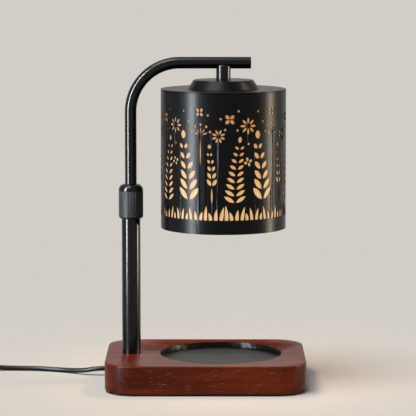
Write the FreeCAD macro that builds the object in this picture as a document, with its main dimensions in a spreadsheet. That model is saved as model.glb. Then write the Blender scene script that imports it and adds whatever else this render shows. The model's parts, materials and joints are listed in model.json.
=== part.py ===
"""Candle warmer lamp: a wooden base, a sliding bent arm and a pierced metal shade over a candle seat.

Millimetres, +Z up. The origin is the middle of the base, on the table that its feet stand on.
The post stands at the left (-X), and the shade hangs over the candle seat at the right (+X).
"""
import FreeCAD, Part
import Sketcher
import math
import os
import re
from FreeCAD import Placement, Rotation, Vector

document = FreeCAD.newDocument("candle_warmer_lamp")
sizes = document.addObject("Spreadsheet::Sheet", "Sizes")
places = document.addObject("Spreadsheet::Sheet", "Places")
owner = {}
finished = []


# Driving dimensions
DRIVING = {
    "base_long": 171, "base_deep": 130, "base_round": 25, "wood_high": 24, "wood_edge": 1.2,
    "foot_high": 1.5, "foot_wide": 14, "foot_inset": 22, "foot_edge": 0.3, "cut_over": 1,
    "recess_wide": 106, "recess_deep": 5.5, "dish_sheet": 0.8, "dish_drop": 0.3,
    "post_left": 64, "seat_right": 13.2, "shade_right": 15.2,
    "cavity_wall": 11, "cavity_long": 44, "cavity_front": 20, "cavity_back": 36, "cavity_high": 12.5,
    "plate_sheet": 1.5, "plate_margin": 6.5,
    "screw_wide": 3, "screw_head": 5.6, "screw_long": 8, "head_high": 1.5, "screw_spare": 1,
    "cord_wide": 4.2, "cord_back": 26, "cord_up": 5, "grommet_wide": 6.2, "grommet_flange": 6.8,
    "flange_high": 1.5, "lead_inside": 29.5, "clamp_right": 19.5, "clamp_wide": 8, "clamp_span": 19,
    "clamp_sheet": 1.2,
    "wire_wide": 1.6, "wire_apart": 2.6, "wire_bend": 2.4, "splice_wide": 5, "splice_long": 12,
    "splice_left": 50, "splice_apart": 6, "splice_back": 17,
    "tube_wide": 16, "tube_wall": 1.5, "tube_long": 132.5,
    "nipple_wide": 9.8, "nipple_bore": 7, "nipple_down": 17.5, "nipple_plug": 10.5,
    "washer_wide": 18, "washer_sheet": 1.5, "nut_flats": 14, "nut_high": 4.5,
    "arm_wide": 10, "arm_wall": 1, "arm_bend": 42, "arm_rise": 250.5, "arm_reach": 102,
    "arm_start": 68,
    "bush_high": 8, "bush_play": 0.1, "ring_wide": 12.4, "ring_high": 1.6, "sliding_fit": 0.04,
    "wire_foot": 14.5, "plug_disc": 0.8, "plug_deep": 6,
    "lock_wide": 21, "lock_rise": 117, "lock_chamfer": 1.7, "grip_high": 22.2, "dome_high": 5.8,
    "grip_thick": 1.15, "groove_count": 48, "groove_wide": 0.7, "dome_round": 5.1,
    "collet_wide": 14.6, "collet_tip": 12, "collet_high": 10, "collet_straight": 4, "collet_slit": 0.8,
    "stem_wide": 12.4, "stem_drop": 9.5, "stem_over": 3.5, "stem_round": 1.4, "stem_socket": 6.5,
    "cap_wide": 61, "cap_narrow": 51, "cap_high": 7.5, "cap_sheet": 1,
    "shade_wide": 107, "shade_high": 119, "shade_sheet": 0.8, "lid_sheet": 1,
    "liner_sheet": 0.6, "liner_drop": 1, "pattern_low": 12, "pattern_repeats": 5,
    "bracket_wide": 14, "bracket_span": 40, "bracket_sheet": 1.4, "bracket_drop": 19, "foot_long": 10,
    "spring_sheet": 0.8, "thin_nut": 4, "nipple_below": 9.2,
    "holder_wide": 34, "holder_high": 14, "holder_face": 2.4, "holder_round": 1.2, "chamber_roof": 4,
    "contact_long": 3, "contact_deep": 4, "contact_sheet": 0.8, "pin_apart": 10, "pin_wide": 2.4,
    "pin_head": 4.8, "head_tall": 3.8, "pin_neck": 3, "twist_angle": 20, "pin_play": 0.3,
    "bulb_wide": 50, "bulb_long": 50, "lens_high": 2, "lens_inset": 0.5, "bulb_neck": 24,
    "bulb_base_high": 16, "bulb_shoulder": 6, "bulb_taper": 2.5, "glass_wall": 1.2,
    "capsule_wide": 9, "capsule_long": 22,
    "dimmer_left": 252, "dimmer_back": 48, "dimmer_long": 54, "dimmer_deep": 26, "dimmer_high": 17,
    "dimmer_split": 8, "dimmer_wall": 1.6, "dimmer_round": 8, "dimmer_edge": 2, "relief_long": 14,
    "relief_wide": 8.4, "relief_neck": 6.8, "relief_tip": 5.2, "relief_flange": 9.2,
    "board_long": 33, "board_deep": 19, "board_sheet": 1.6, "board_rise": 4.2, "pot_side": 15,
    "pot_high": 6.5, "boss_wall": 1.1, "boss_along": 19.5, "boss_across": 6.2, "rest_long": 2.5,
    "wire_stub": 8,
    "knob_wide": 20, "knob_high": 5, "knob_rise": 0.4, "knob_ribs": 30, "knob_roof": 1.6, "knob_round": 0.8,
    "knob_taper": 0.5, "knob_play": 0.3, "flute_wide": 1.4, "flute_out": 0.25,
    "mark_wide": 1, "mark_deep": 0.5, "shaft_wide": 6,
    "coil_left": 294, "coil_front": 4, "coil_radius": 35, "coil_pitch": 5.2, "coil_turns": 3.5,
    "coil_climb": 0.5, "coil_return": 3.25, "coil_lift": 0.5, "tie_sheet": 0.4,
    "tie_wide": 8, "tie_play": 0.3,
    "plug_left": 224, "plug_front": 38.2, "plug_long": 27, "plug_deepness": 24, "plug_high": 14,
    "plug_corner": 4, "plug_relief": 18, "blade_long": 17, "blade_high": 6.35, "blade_sheet": 1.5,
    "blade_apart": 12.7, "plug_edge": 1,
}

# Places worked out from the driving dimensions
DERIVED = {
    "wood_top": "foot_high + wood_high",
    "post_axis": "0 - post_left",
    "base_left": "0 - base_long / 2",
    "plate_top": "foot_high + plate_sheet",
    "cavity_left": "base_left + cavity_wall",
    "cavity_right": "cavity_left + cavity_long",
    "cavity_top": "plate_top + cavity_high",
    "cord_height": "foot_high + cord_up",
    "dish_floor": "wood_top - recess_deep",
    "tube_top": "wood_top + tube_long",
    "tube_bore": "tube_wide - 2 * tube_wall",
    "arm_axis": "wood_top + arm_rise",
    "arm_foot": "wood_top + arm_start",
    "bush_low": "arm_foot + ring_high + bush_play",
    "bush_top": "bush_low + bush_high",
    "wire_low": "wood_top + wire_foot",
    "lock_low": "wood_top + lock_rise",
    "grip_low": "lock_low + lock_chamfer",
    "grip_top": "grip_low + grip_high",
    "lock_top": "grip_top + dome_high",
    "cap_top": "arm_axis - arm_wide / 2 - stem_drop",
    "shade_roof": "cap_top - cap_high",
    "lid_low": "shade_roof - lid_sheet",
    "shade_rim": "shade_roof - shade_high",
    "bracket_low": "lid_low - bracket_drop",
    "washer_low": "lid_low - bracket_sheet - spring_sheet",
    "holder_low": "bracket_low - holder_high",
    "bulb_top": "holder_low - pin_play",
    "bulb_face": "bulb_top - bulb_long",
    "dimmer_axis": "0 - dimmer_left",
    "board_top": "board_rise + board_sheet",
    "knob_low": "dimmer_high + knob_rise",
    "coil_axis": "0 - coil_left",
    "coil_first": "coil_lift + cord_wide / 2",
    "coil_second": "coil_first + coil_pitch",
    "plug_face": "0 - plug_left",
}

for row, (name, number) in enumerate(DRIVING.items(), 1):
    sizes.set(f"A{row}", name)
    sizes.set(f"B{row}", str(number))
    sizes.setAlias(f"B{row}", name)
    owner[name] = "Sizes." + name
document.recompute()


# Short ways to read a formula, bind a property to it and build a body
def full(text):
    """The formula with each named size or place pointed at its sheet."""
    return re.sub(r"[a-z][a-z_]+[a-z]", lambda word: owner.get(word[0], word[0]), text)


def value(text):
    return float(sizes.evalExpression(full(text)))


def bind(item, path, text):
    item.setExpression(path, full(text))


for row, (name, formula) in enumerate(DERIVED.items(), 1):
    places.set(f"A{row}", name)
    places.set(f"B{row}", "=" + full(formula))
    places.setAlias(f"B{row}", name)
    owner[name] = "Places." + name
    document.recompute()


def new_body(name, x="0", y="0", z="0", turn=None):
    body = document.addObject("PartDesign::Body", name)
    body.Label = name
    if turn:
        body.Placement = Placement(Vector(), turn)
    for axis, text in zip("xyz", (x, y, z)):
        bind(body, "Placement.Base." + axis, text)
    return body


def origin_plane(body, role):
    return next(item for item in body.Origin.OriginFeatures if item.Role == role)


def new_sketch(body, role, lift="0"):
    sketch = body.newObject("Sketcher::SketchObject", body.Name + "_sketch")
    sketch.AttachmentSupport = [(origin_plane(body, role), "")]
    sketch.MapMode = "FlatFace"
    bind(sketch, "AttachmentOffset.Base.z", lift)
    return sketch


def hold(sketch, constraint, text):
    bind(sketch, f"Constraints[{sketch.addConstraint(constraint)}]", text)


def draw_outline(sketch, corners):
    """Close a straight-sided outline through corners given as pairs of formulas."""
    spots = [Vector(value(across), value(up), 0) for across, up in corners]
    first = sketch.GeometryCount
    for place, spot in enumerate(spots):
        sketch.addGeometry(Part.LineSegment(spot, spots[(place + 1) % len(spots)]))
    for place, (across, up) in enumerate(corners):
        line = first + place
        after = first + (place + 1) % len(spots)
        sketch.addConstraint(Sketcher.Constraint("Coincident", line, 2, after, 1))
        hold(sketch, Sketcher.Constraint("DistanceX", -1, 1, line, 1, spots[place].x), across)
        hold(sketch, Sketcher.Constraint("DistanceY", -1, 1, line, 1, spots[place].y), up)


def draw_circle(sketch, x, y, radius):
    centre = Vector(value(x), value(y), 0)
    line = sketch.addGeometry(Part.Circle(centre, Vector(0, 0, 1), value(radius)))
    hold(sketch, Sketcher.Constraint("Radius", line, value(radius)), radius)
    hold(sketch, Sketcher.Constraint("DistanceX", -1, 1, line, 3, centre.x), x)
    hold(sketch, Sketcher.Constraint("DistanceY", -1, 1, line, 3, centre.y), y)


def turned(name, corners, x="0", y="0", z="0", turn=None):
    """A body turned about its own Z axis, from an outline of radius and height."""
    body = new_body(name, x, y, z, turn)
    sketch = new_sketch(body, "XZ_Plane")
    draw_outline(sketch, corners)
    revolution = body.newObject("PartDesign::Revolution", name + "_turned")
    revolution.Profile = sketch
    revolution.ReferenceAxis = (sketch, ["V_Axis"])
    revolution.Angle = 360
    document.recompute()
    return body


def padded(name, corners, low, high, x="0", y="0", role="XY_Plane", turn=None, z="0"):
    """A body padded from a straight-sided outline between two heights."""
    body = new_body(name, x, y, z, turn)
    sketch = new_sketch(body, role, low)
    draw_outline(sketch, corners)
    pad = body.newObject("PartDesign::Pad", name + "_pad")
    pad.Profile = sketch
    bind(pad, "Length", f"({high}) - ({low})")
    document.recompute()
    return body


def rectangle(left, right, front, back):
    return [(left, front), (right, front), (right, back), (left, back)]


def centred(long, deep):
    half, across = f"({long}) / 2", f"({deep}) / 2"
    return rectangle(f"0 - {half}", half, f"0 - {across}", across)


def pocket(body, draw, low, high):
    """Cut downwards from high to low what draw puts in the sketch, and check that it cut."""
    before = body.Shape.Volume
    sketch = new_sketch(body, "XY_Plane", high)
    draw(sketch)
    cut = body.newObject("PartDesign::Pocket", body.Name + "_pocket")
    cut.Profile = sketch
    bind(cut, "Length", f"({high}) - ({low})")
    document.recompute()
    if body.Shape.Volume > before - 1e-6:
        raise RuntimeError(f"a pocket in {body.Name} cuts nothing")
    return cut


def drill(body, x, y, radius, low, high):
    return pocket(body, lambda sketch: draw_circle(sketch, x, y, radius), low, high)


def mill(body, corners, low, high):
    return pocket(body, lambda sketch: draw_outline(sketch, corners), low, high)


def rounded(body, radius, test, kind="Fillet"):
    """Round or chamfer the edges of the body so far that pass the test."""
    base = body.Tip
    names = [f"Edge{place}" for place, edge in enumerate(base.Shape.Edges, 1) if test(edge)]
    if not names:
        raise RuntimeError(f"no edge to round on {body.Name}")
    feature = body.newObject("PartDesign::" + kind, body.Name + "_" + kind.lower())
    feature.Base = (base, names)
    bind(feature, "Radius" if kind == "Fillet" else "Size", radius)
    document.recompute()


def rim(radius, height):
    """A test for the circular edge of that radius at that height."""
    wanted, at_height = value(radius), value(height)
    return lambda edge: (edge.Curve.TypeId == "Part::GeomCircle" and abs(edge.Curve.Radius - wanted) < 0.01
                         and abs(edge.Curve.Center.z - at_height) < 0.01)


def level(height):
    """A test for an edge that lies flat at that height."""
    wanted = value(height)
    return lambda edge: max(abs(edge.BoundBox.ZMin - wanted), abs(edge.BoundBox.ZMax - wanted)) < 0.01


def upright(edge):
    return edge.BoundBox.XLength < 0.01 and edge.BoundBox.YLength < 0.01


def patterned(body, feature, count):
    """Repeat a feature round the body's own Z axis."""
    pattern = body.newObject("PartDesign::PolarPattern", body.Name + "_pattern")
    pattern.Originals = [feature]
    pattern.Axis = (origin_plane(body, "Z_Axis"), [""])
    pattern.Angle = 360
    bind(pattern, "Occurrences", count)
    body.Tip = pattern
    document.recompute()


def finish(item):
    finished.append(item)
    return item


def group(name, members):
    """Like pieces that share one node."""
    compound = document.addObject("Part::Compound", name)
    compound.Label = name
    compound.Links = members
    return finish(compound)


def fixed_shape(name, shape):
    feature = document.addObject("Part::Feature", name)
    feature.Label = name
    feature.Shape = shape
    return finish(feature)


def screw(name, x, y, head_low, upwards=True, long="screw_long"):
    """A pan-head screw whose shank points up or down from its head."""
    turn = None if upwards else Rotation(Vector(1, 0, 0), 180)
    head, shank = "screw_head / 2", "screw_wide / 2 - sliding_fit"
    tip = f"head_high + {long}"
    corners = [("0", "0"), (head, "0"), (head, "head_high"), (shank, "head_high"), (shank, tip), ("0", tip)]
    return turned(name, corners, x, y, head_low, turn)


def hexagon(flats):
    """Corners of a hexagon with that width across flats."""
    corner = f"({flats}) / 2 / cos(30)"
    return [(f"{corner} * cos({60 * side})", f"{corner} * sin({60 * side})") for side in range(6)]


along_x = Rotation(Vector(0, 1, 0), 90)


# Routes of cords and wires
def tangent_arcs(points, radii=None):
    """Straight runs joined by tangent arcs, and the arcs' radii."""
    edges, used = [], []
    start = points[0]
    for place in range(1, len(points) - 1):
        before = points[place - 1] - points[place]
        after = points[place + 1] - points[place]
        half = (math.pi - before.getAngle(after)) / 2
        reach = 0.45 * min(before.Length, after.Length)
        radius = reach / math.tan(half)
        if radii:
            radius = radii[place - 1]
            reach = radius * math.tan(half)
        before.normalize()
        after.normalize()
        inward = before + after
        inward.normalize()
        corner = points[place]
        centre = corner + inward * (radius / math.cos(half))
        first, last = corner + before * reach, corner + after * reach
        edges.append(Part.LineSegment(start, first).toShape())
        edges.append(Part.Arc(first, centre - inward * radius, last).toShape())
        used.append(radius)
        start = last
    edges.append(Part.LineSegment(start, points[-1]).toShape())
    return edges, used


def tube(name, edges, diameter):
    """A round solid along edges, checked against its section times its length."""
    path = Part.Wire(edges)
    start = path.Edges[0].valueAt(path.Edges[0].FirstParameter)
    direction = path.Edges[0].tangentAt(path.Edges[0].FirstParameter)
    ring = Part.Wire([Part.Circle(start, direction, diameter / 2).toShape()])
    solid = path.makePipeShell([ring], True, False)
    expected = math.pi * diameter ** 2 / 4 * path.Length
    if abs(solid.Volume / expected - 1) > 0.01:
        raise RuntimeError(f"{name} has {solid.Volume:.1f} mm3, not {expected:.1f}")
    return solid


def cord(name, points):
    edges, radii = tangent_arcs([Vector(*point) for point in points])
    shape = tube(name, edges, value("cord_wide"))
    print(name, "radii", [round(radius) for radius in radii], "length", round(sum(e.Length for e in edges)))
    return fixed_shape(name, shape)


# Wooden base, cut for the candle dish, the post and the wiring cavity
base = padded("wood_base", centred("base_long", "base_deep"), "foot_high", "wood_top")
rounded(base, "base_round", upright)
rounded(base, "wood_edge", lambda edge: level("wood_top")(edge) or level("foot_high")(edge))
drill(base, "seat_right", "0", "recess_wide / 2", "dish_floor", "wood_top")
cavity = rectangle("cavity_left", "cavity_right", "0 - cavity_front", "cavity_back")
mill(base, cavity, "foot_high", "cavity_top")
plate_edge = rectangle("cavity_left - plate_margin", "cavity_right + plate_margin",
                       "0 - cavity_front - plate_margin", "cavity_back + plate_margin")
mill(base, plate_edge, "foot_high", "plate_top")
drill(base, "post_axis", "0", "nipple_wide / 2 + sliding_fit", "cavity_top", "wood_top")
plate_screw_spots = [(f"{side} + ({outward}) * plate_margin / 2", f"{end} + ({away}) * plate_margin / 2")
                     for side, outward in (("cavity_left", -1), ("cavity_right", 1))
                     for end, away in (("0 - cavity_front", -1), ("cavity_back", 1))]
for x, y in plate_screw_spots:
    drill(base, x, y, "screw_wide / 2", "plate_top", "plate_top + screw_long")
cord_hole = document.addObject("Part::Cylinder", "cord_hole")
cord_hole.Placement = Placement(Vector(), along_x)
bind(cord_hole, "Radius", "grommet_wide / 2 + sliding_fit")
bind(cord_hole, "Height", "cavity_wall + 2 * cut_over")
bind(cord_hole, "Placement.Base.x", "base_left - cut_over")
bind(cord_hole, "Placement.Base.y", "cord_back")
bind(cord_hole, "Placement.Base.z", "cord_height")
drilled_base = document.addObject("Part::Cut", "drilled_base")
drilled_base.Base = base
drilled_base.Tool = cord_hole
base.Label = "wood_block"
drilled_base.Label = "wood_base"
finish(drilled_base)

# Black metal dish that lines the candle recess
dish_out, dish_in = "recess_wide / 2 - sliding_fit", "recess_wide / 2 - sliding_fit - dish_sheet"
finish(turned("recess_dish", [
    ("0", "dish_floor"), (dish_out, "dish_floor"), (dish_out, "wood_top - dish_drop"),
    (dish_in, "wood_top - dish_drop"), (dish_in, "dish_floor + dish_sheet"), ("0", "dish_floor + dish_sheet"),
], x="seat_right"))

# Steel plate that closes the wiring cavity, and its four screws
plate_inset = "plate_margin - sliding_fit"
plate = padded("bottom_plate", rectangle(
    f"cavity_left - ({plate_inset})", f"cavity_right + {plate_inset}",
    f"0 - cavity_front - ({plate_inset})", f"cavity_back + {plate_inset}"), "foot_high", "plate_top")
for x, y in plate_screw_spots:
    drill(plate, x, y, "screw_head / 2 + sliding_fit", "foot_high", "plate_top")
finish(plate)
group("bottom_plate_screws", [
    screw(f"plate_screw_{place}", x, y, "foot_high", long="screw_long - sliding_fit")
    for place, (x, y) in enumerate(plate_screw_spots)])

# Four glued rubber feet
foot_outline = [("0", "0"), ("foot_wide / 2 - foot_edge", "0"), ("foot_wide / 2", "foot_edge"),
                ("foot_wide / 2", "foot_high"), ("0", "foot_high")]
group("rubber_feet", [
    turned(f"foot_{place}", foot_outline, f"({side}) * (base_long / 2 - foot_inset / 2 - foot_wide / 4)",
           f"({end}) * (base_deep / 2 - foot_inset / 2 - foot_wide / 4)")
    for place, (side, end) in enumerate([(-1, -1), (1, -1), (1, 1), (-1, 1)])])

# Lead inside the base: grommet, clamp, splices and wires up to the post
grommet_bore = "cord_wide / 2 + sliding_fit"
finish(turned("cord_grommet", [
    (grommet_bore, "0"), ("grommet_wide / 2", "0"), ("grommet_wide / 2", "cavity_wall"),
    ("grommet_flange / 2", "cavity_wall"), ("grommet_flange / 2", "cavity_wall + flange_high"),
    (grommet_bore, "cavity_wall + flange_high")], "base_left", "cord_back", "cord_height", along_x))
finish(turned("base_lead", [
    ("0", "0"), ("cord_wide / 2", "0"), ("cord_wide / 2", "lead_inside"), ("0", "lead_inside")],
    "base_left", "cord_back", "cord_height", along_x))

clamp_middle = "base_left + clamp_right"
clamp_left = f"{clamp_middle} - clamp_wide / 2"
clamp_seat = "cord_height + cord_wide / 2"
clamp_screw_out = "clamp_span / 2 - screw_head / 2"
block = padded("clamp_block", rectangle(
    clamp_left, f"{clamp_middle} + clamp_wide / 2", "cord_back - clamp_span / 2",
    "cord_back + clamp_span / 2"), clamp_seat, "cavity_top")
clamp_screw_spots = [(clamp_middle, f"cord_back + ({side}) * ({clamp_screw_out})") for side in (-1, 1)]
for x, y in clamp_screw_spots:
    drill(block, x, y, "screw_wide / 2", clamp_seat, "cavity_top")
finish(block)

# The strap is drawn across the cord: two ears and a square-shouldered belly
belly = "cord_wide / 2 + sliding_fit"
strap_outer = f"{belly} + clamp_sheet"
strap = padded("cord_clamp", [
    ("0 - clamp_span / 2", "cord_wide / 2"), ("0 - clamp_span / 2", "cord_wide / 2 - clamp_sheet"),
    (f"0 - ({strap_outer})", "cord_wide / 2 - clamp_sheet"), (f"0 - ({strap_outer})", f"0 - ({strap_outer})"),
    (strap_outer, f"0 - ({strap_outer})"), (strap_outer, "cord_wide / 2 - clamp_sheet"),
    ("clamp_span / 2", "cord_wide / 2 - clamp_sheet"), ("clamp_span / 2", "cord_wide / 2"),
    (belly, "cord_wide / 2"), (belly, f"0 - ({belly})"), (f"0 - ({belly})", f"0 - ({belly})"),
    (f"0 - ({belly})", "cord_wide / 2")],
    "0", "clamp_wide", clamp_left, "cord_back", "XY_Plane", Rotation(Vector(1, 1, 1), 120), "cord_height")
clamp_holes = [document.addObject("Part::Cylinder", f"clamp_hole_{place}") for place in range(2)]
for hole, (x, y) in zip(clamp_holes, clamp_screw_spots):
    bind(hole, "Radius", "screw_wide / 2")
    bind(hole, "Height", "clamp_sheet * 3")
    bind(hole, "Placement.Base.x", x)
    bind(hole, "Placement.Base.y", y)
    bind(hole, "Placement.Base.z", f"{clamp_seat} - clamp_sheet * 2")
strap_cut = document.addObject("Part::Cut", "strap_cut")
strap_cut.Base = strap
strap_cut.Tool = document.addObject("Part::Compound", "clamp_holes")
strap_cut.Tool.Links = clamp_holes
strap.Label = "plain_strap"
strap_cut.Label = "cord_clamp"
finish(strap_cut)
clamp_reach = f"cavity_top - ({clamp_seat}) + clamp_sheet - screw_spare"
group("cord_clamp_screws", [
    screw(f"clamp_screw_{place}", x, y, f"{clamp_seat} - clamp_sheet - head_high", long=clamp_reach)
    for place, (x, y) in enumerate(clamp_screw_spots)])

cord_z, splice_from = value("cord_height"), value("splice_back")
splice_to = splice_from - value("splice_long")
far_x, near_x = -value("splice_left"), -value("splice_left - splice_apart")
fixed_shape("wire_splices", Part.makeCompound([
    Part.makeCylinder(value("splice_wide / 2"), value("splice_long"), Vector(x, splice_from, cord_z),
                      Vector(0, -1, 0))
    for x in (far_x, near_x)]))

half_apart = value("wire_apart / 2")
post_x, wire_up = value("post_axis"), value("wire_low")
lead_x, lead_y = value("base_left + lead_inside"), value("cord_back")
wire_runs = [
    [(lead_x, lead_y, cord_z + 1), (-52, lead_y, cord_z + 1), (far_x, 21.5, cord_z),
     (far_x, splice_from, cord_z)],
    [(lead_x, lead_y, cord_z - 1), (-48, lead_y, cord_z - 1), (near_x, 22, cord_z),
     (near_x, splice_from, cord_z)],
    [(far_x, splice_to, cord_z), (far_x, 2.4, cord_z), (-55, half_apart, 5.4), (post_x, half_apart, 5.2),
     (post_x, half_apart, wire_up)],
    [(near_x, splice_to, cord_z), (near_x, 2, cord_z), (-51, -half_apart, 5.4), (post_x, -half_apart, 5.2),
     (post_x, -half_apart, wire_up)],
]


def wire_pair(name, runs, radii=None):
    """Thin round wires along runs of points, in one node."""
    solids = []
    for run in runs:
        edges, used = tangent_arcs([Vector(*spot) for spot in run], radii)
        solids.append(tube(name, edges, value("wire_wide")))
    return fixed_shape(name, Part.makeCompound(solids))


wire_pair("base_wires", wire_runs)

# Post: a hollow nipple pressed into the tube's foot, clamped through the wood by a washer and a nut
nipple_out, nipple_in = "nipple_wide / 2", "nipple_bore / 2"
finish(turned("post_nipple", [
    (nipple_in, "wood_top - nipple_down"), (nipple_out, "wood_top - nipple_down"), (nipple_out, "wood_top"),
    ("tube_bore / 2 - sliding_fit", "wood_top"), ("tube_bore / 2 - sliding_fit", "wood_top + nipple_plug"),
    (nipple_in, "wood_top + nipple_plug")], x="post_axis"))
finish(turned("lower_tube", [
    ("tube_bore / 2", "wood_top"), ("tube_wide / 2", "wood_top"), ("tube_wide / 2", "tube_top"),
    ("tube_bore / 2", "tube_top")], x="post_axis"))
washer_in = "nipple_wide / 2 + sliding_fit"
finish(turned("post_washer", [
    (washer_in, "cavity_top - washer_sheet"), ("washer_wide / 2", "cavity_top - washer_sheet"),
    ("washer_wide / 2", "cavity_top"), (washer_in, "cavity_top")], x="post_axis"))
post_nut = padded("post_nut", hexagon("nut_flats"), "cavity_top - washer_sheet - nut_high",
                  "cavity_top - washer_sheet", "post_axis")
drill(post_nut, "0", "0", washer_in, "cavity_top - washer_sheet - nut_high", "cavity_top - washer_sheet")
finish(post_nut)

# Slack leads inside the post, which stretch and fold as the arm slides
group("post_wires", [
    turned(f"post_wire_{place}", [("0", "wire_low"), ("wire_wide / 2", "wire_low"),
                                  ("wire_wide / 2", "arm_foot"), ("0", "arm_foot")],
           "post_axis", f"({side}) * wire_apart / 2")
    for place, side in enumerate((-1, 1))])

# Split collet on the tube's end, squeezed onto the arm by the lock nut
collet_bore = "arm_wide / 2 + sliding_fit"
collet = turned("collet", [
    (collet_bore, "tube_top"), ("collet_wide / 2", "tube_top"),
    ("collet_wide / 2", "tube_top + collet_straight"), ("collet_tip / 2", "tube_top + collet_high"),
    (collet_bore, "tube_top + collet_high")], x="post_axis")
mill(collet, rectangle("0", "collet_wide", "0 - collet_slit / 2", "collet_slit / 2"),
     "tube_top", "tube_top + collet_high")
finish(collet)

# Guide bush on the arm's foot, running in the tube
bush_out, bush_in = "tube_bore / 2 - sliding_fit", "arm_wide / 2 + sliding_fit"
finish(turned("guide_bush", [
    (bush_in, "bush_low"), (bush_out, "bush_low"), (bush_out, "bush_top"), (bush_in, "bush_top")],
    x="post_axis"))

# Lock nut: a turned core with a domed top, and a fluted rubber grip round it
core_out = "lock_wide / 2 - grip_thick"
seat_out, seat_in = "tube_wide / 2 + sliding_fit", "collet_wide / 2 + 3 * sliding_fit"
tip_in = "collet_tip / 2 + 3 * sliding_fit"
top_in = "arm_wide / 2 + 5 * sliding_fit"
shoulder = "tube_top + 5 * sliding_fit"
lock_nut = turned("lock_nut", [
    (seat_out, "lock_low"), ("lock_wide / 2 - lock_chamfer * 0.75", "lock_low"),
    ("lock_wide / 2", "grip_low"), (core_out, "grip_low"), (core_out, "grip_top"),
    ("lock_wide / 2", "grip_top"), ("lock_wide / 2", "lock_top"), (top_in, "lock_top"),
    (top_in, "tube_top + collet_high + 8 * sliding_fit"),
    (tip_in, "tube_top + collet_high + 8 * sliding_fit"),
    (seat_in, "tube_top + collet_straight + 5 * sliding_fit"), (seat_in, shoulder), (seat_out, shoulder),
], x="post_axis")
rounded(lock_nut, "dome_round", rim("lock_wide / 2", "lock_top"))
finish(lock_nut)

grip_in = "lock_wide / 2 - grip_thick + sliding_fit"
grip = turned("lock_nut_grip", [
    (grip_in, "grip_low + sliding_fit"), ("lock_wide / 2", "grip_low + sliding_fit"),
    ("lock_wide / 2", "grip_top - sliding_fit"), (grip_in, "grip_top - sliding_fit")], x="post_axis")
groove = drill(grip, "lock_wide / 2 + groove_wide * 0.1", "0", "groove_wide / 2", "grip_low", "grip_top")
patterned(grip, groove, "groove_count")
finish(grip)

# Arm: one bent tube from the post over to the shade, with rings that keep the bush and a plug in its end
arm = new_body("upper_tube", "post_axis")
path = new_sketch(arm, "XZ_Plane")
bend_start = value("arm_axis - arm_bend")
path.addGeometry(Part.LineSegment(Vector(0, value("arm_foot"), 0), Vector(0, bend_start, 0)))
bend = Part.Circle(Vector(value("arm_bend"), bend_start, 0), Vector(0, 0, 1), value("arm_bend"))
path.addGeometry(Part.ArcOfCircle(bend, math.pi / 2, math.pi))
path.addGeometry(Part.LineSegment(
    Vector(value("arm_bend"), value("arm_axis"), 0), Vector(value("arm_reach"), value("arm_axis"), 0)))
path.addConstraint(Sketcher.Constraint("Vertical", 0))
path.addConstraint(Sketcher.Constraint("Horizontal", 2))
path.addConstraint(Sketcher.Constraint("Tangent", 0, 2, 1, 2))
path.addConstraint(Sketcher.Constraint("Tangent", 1, 1, 2, 1))
hold(path, Sketcher.Constraint("DistanceX", -1, 1, 0, 1, 0), "0")
hold(path, Sketcher.Constraint("DistanceY", -1, 1, 0, 1, value("arm_foot")), "arm_foot")
hold(path, Sketcher.Constraint("Radius", 1, value("arm_bend")), "arm_bend")
hold(path, Sketcher.Constraint("DistanceX", -1, 1, 2, 2, value("arm_reach")), "arm_reach")
hold(path, Sketcher.Constraint("DistanceY", -1, 1, 2, 2, value("arm_axis")), "arm_axis")
section = new_sketch(arm, "XY_Plane", "arm_foot")
draw_circle(section, "0", "0", "arm_wide / 2")
draw_circle(section, "0", "0", "arm_wide / 2 - arm_wall")
sweep = arm.newObject("PartDesign::AdditivePipe", "arm_sweep")
sweep.Profile = section
sweep.Spine = (path, ["Edge1", "Edge2", "Edge3"])
document.recompute()
drill(arm, "shade_right - post_axis", "0", "nipple_bore / 2 - arm_wall / 2", "arm_axis - arm_wide",
      "arm_axis")
finish(arm)

ring_in = "arm_wide / 2 + sliding_fit"
ring_heights = ("arm_foot", "bush_top + bush_play")
group("stop_rings", [
    turned(f"stop_ring_{place}", [
        (ring_in, low), ("ring_wide / 2", low), ("ring_wide / 2", f"{low} + ring_high"),
        (ring_in, f"{low} + ring_high")], "post_axis")
    for place, low in enumerate(ring_heights)])
arm_end = "post_axis + arm_reach"
finish(turned("arm_end_plug", [
    ("0", "0 - plug_deep"), ("arm_wide / 2 - arm_wall - sliding_fit", "0 - plug_deep"),
    ("arm_wide / 2 - arm_wall - sliding_fit", "0"), ("arm_wide / 2", "0"), ("arm_wide / 2", "plug_disc"),
    ("0", "plug_disc")], arm_end, "0", "arm_axis", along_x))

# Stem: a saddle under the arm, bored for the hollow nipple that carries the shade
stem = turned("plain_stem", [
    ("0", "cap_top"), ("stem_wide / 2", "cap_top"), ("stem_wide / 2", "arm_axis - arm_wide / 2 + stem_over"),
    ("0", "arm_axis - arm_wide / 2 + stem_over")], x="shade_right")
rounded(stem, "stem_round", rim("stem_wide / 2", "arm_axis - arm_wide / 2 + stem_over"))
drill(stem, "0", "0", "nipple_wide / 2 + sliding_fit", "cap_top", "cap_top + stem_socket")
drill(stem, "0", "0", "nipple_bore / 2", "cap_top", "arm_axis")
arm_channel = document.addObject("Part::Cylinder", "arm_channel")
arm_channel.Placement = Placement(Vector(), along_x)
bind(arm_channel, "Radius", "arm_wide / 2 + sliding_fit")
bind(arm_channel, "Height", "stem_wide * 2")
bind(arm_channel, "Placement.Base.x", "shade_right - stem_wide")
bind(arm_channel, "Placement.Base.z", "arm_axis")
arm_stem = document.addObject("Part::Cut", "arm_stem")
arm_stem.Base = stem
arm_stem.Tool = arm_channel
arm_stem.Label = "arm_stem"
finish(arm_stem)
nipple_low = "washer_low - nipple_below + thin_nut"
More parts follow.
